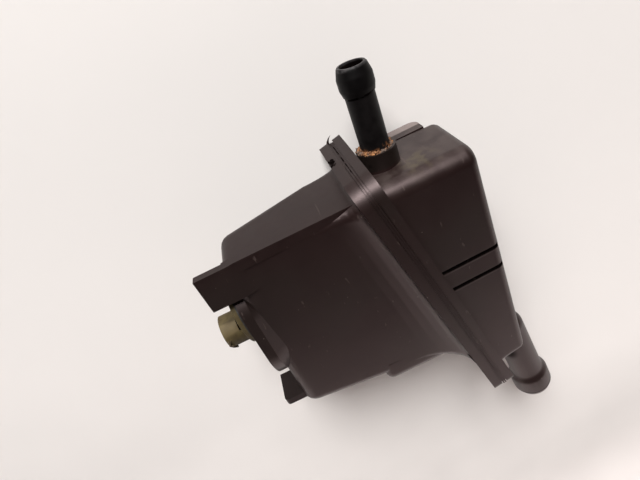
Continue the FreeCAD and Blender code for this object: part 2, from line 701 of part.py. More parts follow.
PIECES = {
    "body_shell": body_shell,
    "cover_shell": cover_shell,
    "weld_bead": weld_bead,
    "return_nipple": return_nipple,
    "nipple_seal": nipple_seal,
    "sensor_head": sensor_head,
    "sensor_gasket": sensor_gasket,
    "terminal_near": lambda: blade(-1),
    "terminal_far": lambda: blade(1),
    "reed_switch": reed_switch,
    "reed_lead_short": lambda: reed_lead(-1),
    "reed_lead_long": lambda: reed_lead(1),
    "float_pin": float_pin,
    "float_arm": float_arm,
    "float_magnet": float_magnet,
    "float_body": float_body,
    "strainer_frame": strainer_frame,
    "strainer_mesh": strainer_mesh,
    "flow_baffle": flow_baffle,
}


def main():
    """Builds every piece and writes one file for each."""
    os.makedirs("parts", exist_ok=True)
    for name, make in PIECES.items():
        shape = make()
        if not shape.isValid() or shape.Volume <= 0:
            raise ValueError(name + " is not a sound solid")
        print(name, len(shape.Solids), round(shape.Volume, 1))
        shape.exportStep("parts/" + name + ".step")


main()
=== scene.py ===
from math import cos, pi, radians, sin, tan

import bmesh
import bpy
from bpy.props import FloatProperty, FloatVectorProperty, PointerProperty
from mathutils import Matrix, Vector


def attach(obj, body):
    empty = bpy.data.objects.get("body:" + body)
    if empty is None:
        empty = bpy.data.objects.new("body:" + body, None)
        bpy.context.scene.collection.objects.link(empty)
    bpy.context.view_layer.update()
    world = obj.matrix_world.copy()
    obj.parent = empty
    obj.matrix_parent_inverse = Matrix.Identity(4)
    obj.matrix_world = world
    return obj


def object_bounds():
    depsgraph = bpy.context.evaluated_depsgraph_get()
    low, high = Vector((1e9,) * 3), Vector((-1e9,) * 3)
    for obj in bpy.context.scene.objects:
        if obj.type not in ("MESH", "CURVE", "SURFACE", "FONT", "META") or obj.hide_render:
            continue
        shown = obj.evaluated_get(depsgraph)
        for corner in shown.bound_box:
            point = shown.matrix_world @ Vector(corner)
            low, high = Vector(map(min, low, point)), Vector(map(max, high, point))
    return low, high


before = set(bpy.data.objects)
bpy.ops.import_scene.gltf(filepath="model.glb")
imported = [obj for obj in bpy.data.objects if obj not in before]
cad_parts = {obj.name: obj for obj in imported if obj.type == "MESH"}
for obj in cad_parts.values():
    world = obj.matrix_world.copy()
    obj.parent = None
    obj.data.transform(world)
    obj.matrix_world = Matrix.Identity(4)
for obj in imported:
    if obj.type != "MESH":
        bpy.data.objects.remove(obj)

bl_info = {
    "name": "Power Steering Reservoir Looks",
    "version": (1, 0, 0),
    "blender": (4, 5, 0),
    "location": "View3D > Sidebar > Reservoir",
    "description": "Finishes a welded plastic power steering reservoir and sets its stage",
    "category": "Object",
}

CAD_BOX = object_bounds()
MM = 0.001

# Weld flange, as in the part: its body-side face leans back by FLANGE_TILT
FLANGE_TILT = radians(11.9)
FLANGE_X = 47.1 * MM
FLANGE_NEAR_Y, FLANGE_FAR_Y = -7.0 * MM, 40.0 * MM
FLANGE_TOP, FLANGE_BOTTOM = 6.5 * MM, -106.0 * MM
FLANGE_CORNERS = (3.6 * MM, 9.0 * MM, 3.2 * MM, 3.6 * MM)
SEAM_OFFSET = 4.8 * MM

# Feed port: where its leaning axis starts below the cover
FEED_BASE = Vector((89.2, 14.5, -106.0)) * MM
FEED_LEAN = radians(7.0)

# Level grooves on the near side of the cover
GROOVES = (-41.3 * MM, -50.4 * MM)

# Single marks on the shells, one of them painted shade at the spout's root: place, radius of the full
# mark and radius where it ends, in millimetres
NOTCH_MARKS = (((46.9, 22.6, 6.4), 1.0, 1.5), ((47.2, 20.9, 6.4), 0.9, 1.4),
               ((46.7, 18.9, 6.4), 1.1, 1.7))
COLLAR_PIT = ((57.3, 12.4, 3.2), 0.2, 1.4)
COLLAR_SIDE = ((61.9, 17.8, 3.0), 7.8, 8.6)
FLANGE_CHIP = ((69.4, -7.0, -58.4), 0.3, 0.9)
# Painted shade at the spout's root, under the cover's bottom edge
SPOUT_ROOT_SHADE = ((83.4, 9.0, -109.5), 1.5, 6.0)
TOP_SMEAR = ((72.0, 9.0, 0.0), 2.0, 10.0)

# Colours on the shells, linear: wear and dirt, a paler ledge, painted highlights on the groove lips and
# the spout's end, and the black of gaps and painted shade
GREENISH_TONE = (0.0088, 0.0070, 0.0058)
DUST_TONE = (0.125, 0.105, 0.095)
LEDGE_TONE = (0.20, 0.165, 0.155)
GROOVE_LIP_HIGHLIGHT_TONE = (0.075, 0.06, 0.056)
SMEAR_TONE = (0.085, 0.07, 0.035)
SPECK_TONE = (0.21, 0.18, 0.16)
SCRATCH_TONE = (0.11, 0.085, 0.075)
COLLAR_TONE = (0.0062, 0.0054, 0.0044)
CHIP_TONE = (0.16, 0.13, 0.12)
SPOUT_LIP_HIGHLIGHT_TONE = (0.13, 0.10, 0.098)
GAP_AND_SHADE_TONE = (0.0022, 0.0015, 0.0014)

# Return port: where its leaning axis meets the top of the tank, and its socket's cup
NIPPLE_BASE = Vector((61.9, 17.8, 0.0)) * MM
NIPPLE_LEAN = radians(3.7)
CUP_FLOOR = 4.9 * MM
CUP_INNER, CUP_OUTER = 5.3 * MM, 6.0 * MM
NIPPLE_BORE = (4.05 * MM, 4.25 * MM)
NIPPLE_BARB_Z = 25.8 * MM

# Connector's shroud: its outer end on the axis, and its radius
SHROUD_CENTRE = Vector((-15.8, 14.0, -33.2)) * MM
SHROUD_RADIUS = 6.4 * MM

# Photograph's camera: place in millimetres, right and up directions, focal length in pixels
CAMERA_PLACE = Vector((35.74, -133.66, 76.78)) * MM
CAMERA_RIGHT = Vector((0.8987, -0.2124, -0.3836))
CAMERA_UP = Vector((0.4378, 0.4831, 0.7582))
FOCAL_PIXELS = 489.1
PHOTO_WIDTH = 640

# Lights: the sun's direction, and place, aim and width of the two soft lights in metres
SUN_DIRECTION = Vector((0.08, 0.50, -0.86))
TOP_LIGHT = ((0.0, -0.16, 0.50), (0.02, 0.04, 0.12), 0.30)
REAR_LIGHT = ((0.02, 0.75, 0.10), (0.045, 0.04, -0.05), 0.50)


# Shader maths ---------------------------------------------------------------------------------
class Value:
    """A shader socket that takes part in Python arithmetic."""

    def __init__(self, tree, socket):
        self.tree, self.socket = tree, socket

    def math(self, operation, first, second=0.0):
        node = self.tree.nodes.new("ShaderNodeMath")
        node.operation = operation
        for slot, value in zip(node.inputs, (first, second)):
            if isinstance(value, Value):
                self.tree.links.new(value.socket, slot)
            else:
                slot.default_value = value
        return Value(self.tree, node.outputs[0])

    def __add__(self, other):
        return self.math("ADD", self, other)

    __radd__ = __add__

    def __sub__(self, other):
        return self.math("SUBTRACT", self, other)

    def __rsub__(self, other):
        return self.math("SUBTRACT", other, self)

    def __mul__(self, other):
        return self.math("MULTIPLY", self, other)

    __rmul__ = __mul__

    def __truediv__(self, other):
        return self.math("DIVIDE", self, other)

    def __pow__(self, other):
        return self.math("POWER", self, other)

    def __abs__(self):
        return self.math("ABSOLUTE", self)

    def at_most(self, limit):
        """The value, or the limit where the value is larger."""
        return self.math("MINIMUM", self, limit)

    def between(self, low, high):
        """Smooth step from 0 at low to 1 at high."""
        node = self.tree.nodes.new("ShaderNodeMapRange")
        node.interpolation_type = "SMOOTHSTEP"
        self.tree.links.new(self.socket, node.inputs["Value"])
        node.inputs["From Min"].default_value = low
        node.inputs["From Max"].default_value = high
        return Value(self.tree, node.outputs["Result"])


class Finish:
    """A material under construction, with short calls for its nodes."""

    def __init__(self, name, **constants):
        self.material = bpy.data.materials.new(name)
        self.material.use_nodes = True
        self.tree = self.material.node_tree
        self.shader = self.tree.nodes["Principled BSDF"]
        for label, value in constants.items():
            self.shader.inputs[label.replace("_", " ")].default_value = value
        self.place = self.node("ShaderNodeTexCoord", "Object")
        self.geometry = self.tree.nodes.new("ShaderNodeNewGeometry")

    def node(self, kind, output, settings=None, **values):
        """Adds a node, sets its settings first and its sockets second, and returns one output."""
        node = self.tree.nodes.new(kind)
        for label, value in (settings or {}).items():
            setattr(node, label, value)
        for label, value in values.items():
            self.feed(node.inputs[label.replace("_", " ")], value)
        return Value(self.tree, node.outputs[output])

    def feed(self, socket, value):
        """Links or sets one input."""
        if isinstance(value, Value):
            self.tree.links.new(value.socket, socket)
        else:
            socket.default_value = value

    def noise(self, scale, detail=4.0, roughness=0.55, stretch=(1, 1, 1), place=None):
        """Noise on the piece's own coordinates, scale in cells per metre."""
        spot = self.node("ShaderNodeMapping", "Vector", Vector=place or self.place, Scale=stretch)
        return self.node("ShaderNodeTexNoise", "Fac", Vector=spot, Scale=scale, Detail=detail,
                         Roughness=roughness)

    def mix(self, share, first, second):
        """Colour between two colours."""
        node = self.tree.nodes.new("ShaderNodeMix")
        node.data_type = "RGBA"
        for slot, value in ((0, share), (6, first), (7, second)):
            if slot and isinstance(value, (tuple, list)):
                value = tuple(value) + (1.0,)
            self.feed(node.inputs[slot], value)
        return Value(self.tree, node.outputs[2])

    def upward(self):
        """How far the surface faces up, from -1 to 1."""
        split = self.tree.nodes.new("ShaderNodeSeparateXYZ")
        self.tree.links.new(self.geometry.outputs["Normal"], split.inputs[0])
        return Value(self.tree, split.outputs["Z"])

    def coordinate(self, axis):
        """One of the piece's own coordinates, in metres."""
        split = self.tree.nodes.new("ShaderNodeSeparateXYZ")
        self.tree.links.new(self.place.socket, split.inputs[0])
        return Value(self.tree, split.outputs[axis])

    def edges(self, low=0.52, high=0.62):
        """Worn convex edges."""
        return Value(self.tree, self.geometry.outputs["Pointiness"]).between(low, high)

    def spots(self, scale, inner, outer):
        """Round spots, one in each cell of a scale in cells per metre."""
        cell = self.node("ShaderNodeTexVoronoi", "Distance", Vector=self.place, Scale=scale)
        return 1 - cell.between(inner, outer)

    def line(self, value, middle, half):
        """1 where a value is next to a middle, falling to 0 at half its width away."""
        return 1 - abs(value - middle).between(half * 0.4, half)

    def inside(self, value, low, high):
        """1 where a value lies between two limits, with a millimetre of fade at each end."""
        return value.between(low, low + MM) * (1 - value.between(high - MM, high))

    def near(self, spot, inner, outer):
        """1 within inner of a place on the object, falling to 0 at outer, in millimetres."""
        away = self.node("ShaderNodeVectorMath", "Value", {"operation": "DISTANCE"})
        node = away.socket.node
        self.tree.links.new(self.place.socket, node.inputs[0])
        node.inputs[1].default_value = Vector(spot) * MM
        return 1 - away.between(inner * MM, outer * MM)

    def close(self, color, roughness, height=None, depth=0.00002, strength=1.0, gaps_and_shade=None):
        """Connects colour, roughness and height, mixes black into real gaps and into painted shade, and
        returns the material.
        """
        self.feed(self.shader.inputs["Base Color"], color)
        self.feed(self.shader.inputs["Roughness"], roughness)
        if gaps_and_shade is not None:
            black = self.node("ShaderNodeBsdfDiffuse", "BSDF", Color=GAP_AND_SHADE_TONE + (1.0,))
            mix = self.tree.nodes.new("ShaderNodeMixShader")
            for slot, socket in enumerate((gaps_and_shade.socket, self.shader.outputs[0], black.socket)):
                self.tree.links.new(socket, mix.inputs[slot])
            self.tree.links.new(mix.outputs[0], self.tree.nodes["Material Output"].inputs["Surface"])
        if height is not None:
            bump = self.node("ShaderNodeBump", "Normal", Height=height, Distance=depth,
                             Strength=strength)
            self.feed(self.shader.inputs["Normal"], bump)
        return self.material


# Finishes -------------------------------------------------------------------------------------
def across_weld(f):
    """Distance from the weld flange's body-side face, towards the cover."""
    return (f.coordinate("X") - FLANGE_X + f.coordinate("Z") * tan(FLANGE_TILT)) * cos(FLANGE_TILT)


def down_spout(f):
    """Distance along the feed spout from its root."""
    aside = (f.coordinate("X") - FEED_BASE[0]) * sin(FEED_LEAN)
    return aside - (f.coordinate("Z") - FEED_BASE[2]) * cos(FEED_LEAN)


def shell_tone(f, look, cover, film, blotch):
    """Brown-black tone with greener patches, dust on top and a paler ledge."""
    color = f.mix(f.noise(26).between(0.34, 0.66), tuple(look.color), tuple(look.color_light))
    color = f.mix(f.noise(13, 2).between(0.45, 0.62) * 0.6, color, GREENISH_TONE)
    color = f.mix(film * look.dust * (cover * 0.85 + 0.15), color, DUST_TONE)
    ledge = f.coordinate("Y").between(33.6 * MM, 34.2 * MM) * cover * f.upward().between(0.5, 0.9)
    return f.mix(ledge * (blotch * 0.3 + 0.6), color, LEDGE_TONE)


def shell_wear_and_highlights(f, color, cover, down, scratch):
    """Painted highlights on the groove lips and the spout's end, with smear, specks, scratches, dirty
    collar and chip, over a colour.
    """
    y, z = f.coordinate("Y"), f.coordinate("Z")
    # Painted highlight: a paler strip on the lower lip of each groove
    for height in GROOVES:
        lip = f.line(z, height - 1.15 * MM, 0.5 * MM) * cover * (1 - y.between(0.2 * MM, 0.6 * MM))
        color = f.mix(lip * 0.3, color, GROOVE_LIP_HIGHLIGHT_TONE)
    smear = f.near(*TOP_SMEAR) * f.noise(240, 3).between(0.42, 0.62)
    color = f.mix(smear * 0.35, color, SMEAR_TONE)
    specks = f.spots(300, 0.045, 0.075) * f.noise(130, 2).between(0.56, 0.66)
    color = f.mix(specks * 0.6, color, SPECK_TONE)
    color = f.mix(scratch * 0.22, color, SCRATCH_TONE)
    collar = f.near(*COLLAR_SIDE) * z.between(0.6 * MM, 1.2 * MM)
    color = f.mix(collar * 0.7, color, COLLAR_TONE)
    color = f.mix(f.near(*FLANGE_CHIP) * 0.7, color, CHIP_TONE)
    # Painted highlight: a paler band at the spout's end
    return f.mix(down.between(33.6 * MM, 34.0 * MM) * 0.8, color, SPOUT_LIP_HIGHLIGHT_TONE)


def weld_gaps_and_shade(f, seam, blotch):
    """Crack on the flange's top edge, torn notches, a dash, and painted shade on an edge low on the
    near side.
    """
    y, z = f.coordinate("Y"), f.coordinate("Z")
    crack = f.line(seam, 4.75 * MM, 0.28 * MM) * f.inside(y, 5 * MM, 33 * MM)
    crack = crack * z.between(4.5 * MM, 5 * MM)
    crack = crack * (blotch * 0.6 + f.noise(500, 2) * 0.5).between(0.48, 0.58) * 0.85
    dash = f.line(seam, 4.45 * MM, 0.10 * MM) * f.inside(z, -92 * MM, -77 * MM) * 0.7
    notch = 0.0
    for mark in NOTCH_MARKS:
        notch = notch + f.near(*mark)
    notch = notch * f.noise(1100, 3).between(0.36, 0.46)
    # Painted shade: black along the flange's edge low on the near side
    shade = (1 - seam.between(-0.1 * MM, 0.25 * MM)) * f.inside(z, -94 * MM, -79 * MM)
    shade = shade * (1 - y.between(-5.2 * MM, -4.2 * MM))
    return crack + dash + notch + shade


def groove_shade(f, cover):
    """Painted shade in the floors of the cover's level grooves, broken up in places."""
    y, z = f.coordinate("Y"), f.coordinate("Z")
    grooves = 0.0
    for height in GROOVES:
        broken = f.noise(420, 3).between(0.30, 0.42) * 0.3 + 0.65
        # Painted shade: black mixed into each groove's floor
        floor = f.line(z, height, 1.25 * MM) * cover * (1 - y.between(1.4 * MM, 1.9 * MM))
        grooves = grooves + floor * broken
    return grooves


def shell_dimming(f, cover):
    """Share of black: painted shade on the body's top, and a darker lip at its lower end."""
    # Painted shade: the body's upward faces darker
    top = (1 - cover) * (f.upward().between(0.5, 0.9) * 0.26)
    end = 1 - f.coordinate("X").between(-1.0 * MM, 0.5 * MM)
    return top + end * (1 - f.coordinate("Z").between(-52 * MM, -48 * MM)) * 0.3


def shell_plastic(look, name="shell_plastic", melted=0.0):
    """Satin brown-black nylon: fine grain, dust on top, small specks, scratches and weld marks, with
    painted shade and painted highlights.
    """
    f = Finish(name, Specular_IOR_Level=0.42, Specular_Tint=(1.0, 0.80, 0.80, 1.0))
    seam, down = across_weld(f), down_spout(f)
    cover = seam.between(9.3 * MM, 9.8 * MM)
    blotch, grain = f.noise(210, 6), f.noise(2600, 3)
    film = f.upward().between(0.25, 0.95) * (blotch * 0.6 + f.noise(60, 3) * 0.5).between(0.42, 0.72)
    scratch = f.noise(520, 2, 0.5, (1.0, 0.05, 0.32)).between(0.685, 0.72)
    color = shell_tone(f, look, cover, film, blotch)
    color = shell_wear_and_highlights(f, color, cover, down, scratch)
    # Painted shade: a dark ring near the spout's end and a dark patch at its root under the cover
    spout = f.line(down, 33.2 * MM, 0.6 * MM) + f.near(*SPOUT_ROOT_SHADE) * 0.75
    # Black share: weld gaps, notches and the collar pit, with painted shade on the flange edge, at the
    # spout and in the grooves
    marks = weld_gaps_and_shade(f, seam, blotch) + f.near(*COLLAR_PIT) * 0.45 + spout + groove_shade(f, cover)
    dark = marks.between(0.0, 1.0)
    rough = look.gloss_loss + blotch * 0.06 + film * 0.07 + scratch * 0.1
    height = grain * 0.3 + blotch * 0.4 - scratch * 0.4 + f.noise(900, 2) * melted - dark
    return f.close(color, rough, height, 0.00005, gaps_and_shade=(dark + shell_dimming(f, cover)).at_most(1.0))


def nipple_plastic(look):
    """Near-black hose nipple with drawn marks round it and brown dirt at its foot and in its mouth,
    painted shade on its barb and deep in its bore, and a painted highlight on its mouth's rim.
    """
    f = Finish("nipple_plastic", Specular_IOR_Level=0.12)
    z = f.coordinate("Z")
    across = f.coordinate("Y") - NIPPLE_BASE[1]
    along = f.coordinate("X") - NIPPLE_BASE[0] - z * tan(NIPPLE_LEAN)
    radius = (along * along + across * across) ** 0.5
    blotch, grain = f.noise(420, 5), f.noise(2800, 3)
    patchy = f.noise(900, 4).between(0.4, 0.6)
    foot = (1 - (z - blotch * (3 * MM)).between(5.2 * MM, 7.5 * MM)) * z.between(3 * MM, 4.5 * MM)
    inside = 1 - radius.between(*NIPPLE_BORE)
    stain = inside * f.noise(600, 4).between(0.52, 0.66)
    color = f.mix(blotch.between(0.35, 0.7), tuple(look.nipple_color), (0.0065, 0.0054, 0.0055))
    # Painted shade: the barb darker above its step
    barb = z.between(NIPPLE_BARB_Z, NIPPLE_BARB_Z + 0.6 * MM)
    color = f.mix(barb * 0.7, color, (0.0008, 0.0007, 0.0008))
    color = f.mix((foot * patchy).between(0.1, 0.9), color, tuple(look.rust_color))
    color = f.mix(stain * 0.5, color, (0.06, 0.025, 0.010))
    # Painted shade: a dark line at the barb's step
    barb_shade = f.line(z, NIPPLE_BARB_Z, 0.55 * MM) * f.noise(300, 3).between(0.35, 0.5)
    # Painted shade deep in the bore, below its mouth
    bore_shade = inside * (1 - z.between(34.0 * MM, 34.7 * MM)) * 0.92
    # Painted highlight: a paler rim at the mouth
    lip = z.between(34.2 * MM, 34.9 * MM) * f.noise(500, 3).between(0.3, 0.6)
    color = f.mix(lip * 0.7, color, (0.05, 0.047, 0.048))
    marks = f.noise(500, 3, 0.5, (0.2, 0.2, 6.0))
    return f.close(color, 0.38 + blotch * 0.16 + foot * 0.35, grain * 0.3 + marks * 0.5, 0.00003,
                   gaps_and_shade=barb_shade * 0.9 + bore_shade)


def rust_dirt(look):
    """Dry orange-brown dirt caked in the socket's cup, greyer in places."""
    f = Finish("rust_dirt")
    clump, grit = f.noise(800, 5), f.noise(3800, 3)
    color = f.mix(clump.between(0.42, 0.68), tuple(look.rust_color), (0.38, 0.17, 0.06))
    color = f.mix(f.noise(260, 2).between(0.48, 0.6) * 0.75, color, (0.10, 0.082, 0.07))
    color = f.mix(grit.between(0.5, 0.7) * 0.7, color, (0.03, 0.017, 0.011))
    return f.close(color, 0.85 + grit * 0.1, clump + grit * 0.6, 0.0003)


def sensor_nylon(look, name="sensor_nylon", grease=0.0):
    """Aged tan nylon, darker with grease towards its lower rim."""
    f = Finish(name, Specular_IOR_Level=0.2, Subsurface_Weight=0.04)
    f.shader.inputs["Subsurface Radius"].default_value = (0.002, 0.0014, 0.0008)
    blotch, grain = f.noise(330, 5), f.noise(2600, 3)
    low = (f.coordinate("Z") * -1000 + blotch * 6).between(38.5, 42.5)
    grime = low * f.noise(900, 4).between(0.3, 0.55) + grease * f.noise(1500, 3).between(0.2, 0.5)
    color = f.mix(blotch.between(0.3, 0.72), tuple(look.nylon_color), tuple(look.nylon_dark))
    color = f.mix(grime.between(0.1, 0.9), color, (0.024, 0.016, 0.009))
    color = f.mix(f.edges() * 0.25, color, (0.20, 0.15, 0.08))
    return f.close(color, 0.55 + blotch * 0.2 + low * 0.2, grain * 0.4 + blotch * 0.6, 0.00004)


def black_rubber(name="black_rubber", color=(0.012, 0.012, 0.012)):
    """Matt rubber with a dusty bloom."""
    f = Finish(name, Specular_IOR_Level=0.35)
    blotch, grain = f.noise(500, 5), f.noise(3000, 4)
    tint = f.mix(blotch.between(0.45, 0.75) * 0.5, color, (0.06, 0.055, 0.05))
    return f.close(tint, 0.62 + blotch * 0.2, grain + blotch, 0.00004)


def metal(name, color, tarnish, rough=0.3):
    """Drawn metal with fine lines and tarnish."""
    f = Finish(name, Metallic=1.0)
    lines, stain = f.noise(1500, 3, 0.5, (0.15, 1, 1)), f.noise(420, 5)
    tint = f.mix(stain.between(0.45, 0.72) * 0.7, color, tarnish)
    return f.close(tint, rough + stain * 0.2 + lines * 0.08, lines, 0.00002)


def plain_nylon(name, color, dark):
    """Clean moulded plastic inside the tank, stained by the fluid."""
    f = Finish(name, Specular_IOR_Level=0.4)
    stain, grain = f.noise(180, 5), f.noise(2500, 3)
    tint = f.mix(stain.between(0.4, 0.7), color, dark)
    return f.close(tint, 0.4 + stain * 0.2, grain + stain * 0.5, 0.00003)


def foam():
    """Closed-cell nitrile foam with fine cut cells."""
    f = Finish("float_foam", Specular_IOR_Level=0.3)
    cell = f.node("ShaderNodeTexVoronoi", "Distance", Vector=f.place, Scale=2200.0)
    tone = f.noise(300, 4)
    tint = f.mix(cell.between(0.1, 0.5), (0.012, 0.012, 0.012), (0.045, 0.043, 0.04))
    return f.close(tint, 0.8 + tone * 0.1, cell + tone * 0.3, 0.00012)


def reed_glass():
    """Faintly green capsule glass."""
    f = Finish("reed_glass", Transmission_Weight=0.85, IOR=1.5)
    haze = f.noise(900, 3)
    tint = f.mix(haze.between(0.4, 0.7), (0.72, 0.86, 0.80), (0.62, 0.78, 0.70))
    return f.close(tint, 0.04 + haze * 0.08, haze, 0.00001)


def dress(node, material):
    """Gives a node of the part a finish on all its slots."""
    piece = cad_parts[node]
    for slot in piece.material_slots:
        slot.material = material
    if not piece.material_slots:
        piece.data.materials.append(material)


# Mesh helpers ---------------------------------------------------------------------------------
def smooth_facets(node, angle=radians(31)):
    """Shades the narrow faces of a curve as one surface and leaves flat faces and edges crisp.

    Each corner takes the mean direction of the faces that meet there at a shallow angle, the
    larger faces weighing more.
    """
    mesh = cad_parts[node].data
    limit = cos(angle)
    meeting = {}
    for face in mesh.polygons:
        for index in face.vertices:
            key = tuple(round(value * 1e5) for value in mesh.vertices[index].co)
            meeting.setdefault(key, []).append((face.normal.copy(), face.area))
    keys = [tuple(round(value * 1e5) for value in vertex.co) for vertex in mesh.vertices]
    normals = [None] * len(mesh.loops)
    for face in mesh.polygons:
        own = face.normal
        for loop, index in zip(face.loop_indices, face.vertices):
            total = Vector()
            for normal, area in meeting[keys[index]]:
                if own.dot(normal) > limit:
                    total += normal * area
            normals[loop] = total.normalized() if total.length else own
        face.use_smooth = True
    mesh.normals_split_custom_set(normals)


def new_piece(name, mesh, material, body="tank"):
    """Links a finished mesh as a piece that rides on a body."""
    piece = bpy.data.objects.new(name, mesh)
    bpy.context.scene.collection.objects.link(piece)
    if material:
        mesh.materials.clear()
        mesh.materials.append(material)
    for face in mesh.polygons:
        face.use_smooth = True
    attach(piece, body)
    return piece


def seam_points(steps_per_corner=8, outset=0.0):
    """Points round the weld seam, on the flange's slanted outline."""
    near, far = FLANGE_NEAR_Y - outset, FLANGE_FAR_Y + outset
    high = FLANGE_TOP / cos(FLANGE_TILT) + outset
    low = FLANGE_BOTTOM / cos(FLANGE_TILT) - outset
    spots = ((far, high, -1, -1), (near, high, 1, -1), (near, low, 1, 1), (far, low, -1, 1))
    points = []
    for quarter, ((y, v, to_y, to_v), corner) in enumerate(zip(spots, FLANGE_CORNERS)):
        r = corner + outset
        for step in range(steps_per_corner + 1):
            angle = pi / 2 * (quarter + step / steps_per_corner)
            points.append(on_seam(y + to_y * r + r * cos(angle), v + to_v * r + r * sin(angle)))
    return points


def on_seam(y, v):
    """Place on the weld plane from a distance across and a distance up its slope."""
    offset = SEAM_OFFSET
    return Vector((FLANGE_X - v * sin(FLANGE_TILT) + offset * cos(FLANGE_TILT), y,
                   v * cos(FLANGE_TILT) + offset * sin(FLANGE_TILT)))


def loop_curve(name, points):
    """Closed poly curve through points, as the guide of a node tree."""
    curve = bpy.data.curves.new(name, "CURVE")
    curve.dimensions = "3D"
    spline = curve.splines.new("POLY")
    spline.points.add(len(points) - 1)
    for point, place in zip(spline.points, points):
        point.co = (*place, 1.0)
    spline.use_cyclic_u = True
    guide = bpy.data.objects.new(name, curve)
    bpy.context.scene.collection.objects.link(guide)
    return guide


class NodeTree:
    """A Geometry Nodes tree under construction."""

    def __init__(self, name, sizes):
        self.tree = bpy.data.node_groups.new(name, "GeometryNodeTree")
        face = self.tree.interface
        face.new_socket("Geometry", in_out="INPUT", socket_type="NodeSocketGeometry")
        for label, (kind, value) in sizes.items():
            socket = face.new_socket(label, in_out="INPUT", socket_type="NodeSocket" + kind)
            socket.default_value = value
        face.new_socket("Geometry", in_out="OUTPUT", socket_type="NodeSocketGeometry")
        self.start = self.tree.nodes.new("NodeGroupInput")
        self.end = self.tree.nodes.new("NodeGroupOutput")

    def add(self, kind, settings=None, **values):
        """Adds a node, its settings first and then its sockets by name."""
        node = self.tree.nodes.new(kind)
        for label, value in (settings or {}).items():
            setattr(node, label, value)
        for label, value in values.items():
            self.feed(node.inputs[label.replace("_", " ")], value)
        return node

    def feed(self, socket, value):
        """Links or sets one input."""
        if isinstance(value, bpy.types.NodeSocket):
            self.tree.links.new(value, socket)
        else:
            socket.default_value = value

    def apply(self, guide, name, values):
        """Runs the tree on a guide object and returns the result as a plain mesh."""
        modifier = guide.modifiers.new(name, "NODES")
        modifier.node_group = self.tree
        for item in self.tree.interface.items_tree:
            if item.in_out == "INPUT" and item.name in values:
                modifier[item.identifier] = values[item.name]
        depsgraph = bpy.context.evaluated_depsgraph_get()
        mesh = bpy.data.meshes.new_from_object(guide.evaluated_get(depsgraph))
        bpy.data.objects.remove(guide)
        mesh.name = name
        return mesh


def grains_tree(name, material, seed):
    """Irregular grains scattered over a surface, on their points turned and sized at random."""
    t = NodeTree(name, {"Density": ("Float", 1000.0), "Grain": ("Float", 0.0004)})
    scatter = t.add("GeometryNodeDistributePointsOnFaces", Mesh=t.start.outputs["Geometry"],
                    Density=t.start.outputs["Density"], Seed=seed)
    ball = t.add("GeometryNodeMeshIcoSphere", Radius=t.start.outputs["Grain"], Subdivisions=2)
    lump = t.add("ShaderNodeTexNoise", Scale=2600.0)
    shift = t.add("ShaderNodeVectorMath", {"operation": "SCALE"})
    t.feed(shift.inputs[0], lump.outputs["Color"])
    shift.inputs["Scale"].default_value = 0.0004
    bent = t.add("GeometryNodeSetPosition", Geometry=ball.outputs["Mesh"], Offset=shift.outputs[0])
    turn = t.add("FunctionNodeRandomValue", {"data_type": "FLOAT_VECTOR"}, Seed=seed + 1)
    turn.inputs[1].default_value = (6.28, 6.28, 6.28)
    size = t.add("FunctionNodeRandomValue", Seed=seed + 2)
    size.inputs[2].default_value = 0.35
    size.inputs[3].default_value = 1.25
    grains = t.add("GeometryNodeInstanceOnPoints", Points=scatter.outputs["Points"],
                   Instance=bent.outputs["Geometry"], Rotation=turn.outputs[0], Scale=size.outputs[1])
    real = t.add("GeometryNodeRealizeInstances", Geometry=grains.outputs["Instances"])
    paint = t.add("GeometryNodeSetMaterial", Geometry=real.outputs["Geometry"], Material=material)
    t.feed(t.end.inputs[0], paint.outputs["Geometry"])
    return t


def flash_tree(material):
    """Run of melted plastic along the weld seam, wandering a little at random."""
    t = NodeTree("weld_flash_run", {"Step": ("Float", 0.0016), "Radius": ("Float", 0.0004)})
    path = t.add("GeometryNodeResampleCurve", {"mode": "LENGTH"}, Curve=t.start.outputs["Geometry"],
                 Length=t.start.outputs["Step"])
    wobble = t.add("ShaderNodeTexNoise", Scale=900.0)
    centred = t.add("ShaderNodeVectorMath", {"operation": "SUBTRACT"})
    t.feed(centred.inputs[0], wobble.outputs["Color"])
    centred.inputs[1].default_value = (0.5, 0.5, 0.5)
    shift = t.add("ShaderNodeVectorMath", {"operation": "SCALE"})
    t.feed(shift.inputs[0], centred.outputs[0])
    shift.inputs["Scale"].default_value = 0.0003
    bent = t.add("GeometryNodeSetPosition", Geometry=path.outputs["Curve"], Offset=shift.outputs[0])
    circle = t.add("GeometryNodeCurvePrimitiveCircle", Resolution=8, Radius=t.start.outputs["Radius"])
    tube = t.add("GeometryNodeCurveToMesh", Curve=bent.outputs["Geometry"],
                 Profile_Curve=circle.outputs["Curve"])
    paint = t.add("GeometryNodeSetMaterial", Geometry=tube.outputs["Mesh"], Material=material)
    t.feed(t.end.inputs[0], paint.outputs["Geometry"])
    return t


# Settings -------------------------------------------------------------------------------------
def color_setting(name, description, default):
    """Colour property with linear components."""
    return FloatVectorProperty(name=name, description=description, subtype="COLOR", size=3, min=0.0,
                               max=1.0, default=default)


class ShellLook(bpy.types.PropertyGroup):
    """Colours and wear of the two shells."""
    color: color_setting("Shell", "Darker tone of the shells", (0.0086, 0.0040, 0.0037))
    color_light: color_setting("Shell light", "Lighter tone of the shells", (0.0128, 0.0067, 0.0061))
    dust: FloatProperty(name="Dust", description="Strength of the dust", min=0.0, max=1.0, default=0.20)
    gloss_loss: FloatProperty(name="Roughness", description="Roughness of a clean face", min=0.1,
                              max=0.9, default=0.345)


